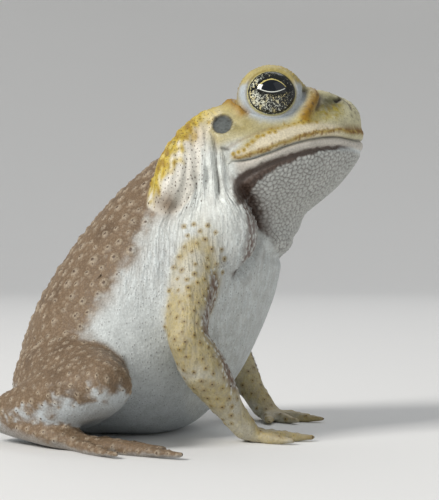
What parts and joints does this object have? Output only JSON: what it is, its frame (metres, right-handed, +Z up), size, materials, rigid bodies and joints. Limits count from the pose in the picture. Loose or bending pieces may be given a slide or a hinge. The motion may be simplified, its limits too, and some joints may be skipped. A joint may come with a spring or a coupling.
{
  "type": "cane toad",
  "caption": "Life-size still model of a cane toad sitting upright on its forelegs, head raised, resting on belly, hands and feet.",
  "frame": {"origin": "on the ground, at the flat of the belly that the toad sits on, on its midline", "axes": "+X the way the toad faces, +Y to its left, +Z up; Z = 0 is the ground"},
  "size_m": [0.0899, 0.1197, 0.0893],
  "materials": {
    "back_skin": "dry and warty, olive brown",
    "head_skin": "dry, olive yellow with a faint sheen",
    "throat_skin": "matt, finely granular, grey white",
    "gland_skin": "smooth with pores, orange yellow",
    "limb_skin": "wrinkled and spotted, cream",
    "eardrum_skin": "thin and taut, slate grey",
    "eye": "wet gloss, black flecked with silver and gold"
  },
  "bodies": {
    "root": {"trunk": "back_skin", "head": "head_skin", "lower_jaw": "throat_skin", "eye_right": "eye", "eye_left": "eye", "eardrum_right": "eardrum_skin", "eardrum_left": "eardrum_skin", "gland_right": "gland_skin", "gland_left": "gland_skin", "upper_arm_right": "limb_skin", "upper_arm_left": "limb_skin", "forearm_right": "limb_skin", "forearm_left": "limb_skin", "hand_right": "limb_skin", "hand_left": "limb_skin", "thigh_right": "back_skin", "thigh_left": "back_skin", "shank_right": "back_skin", "shank_left": "back_skin", "foot_right": "back_skin", "foot_left": "back_skin"}
  },
  "joints": []
}
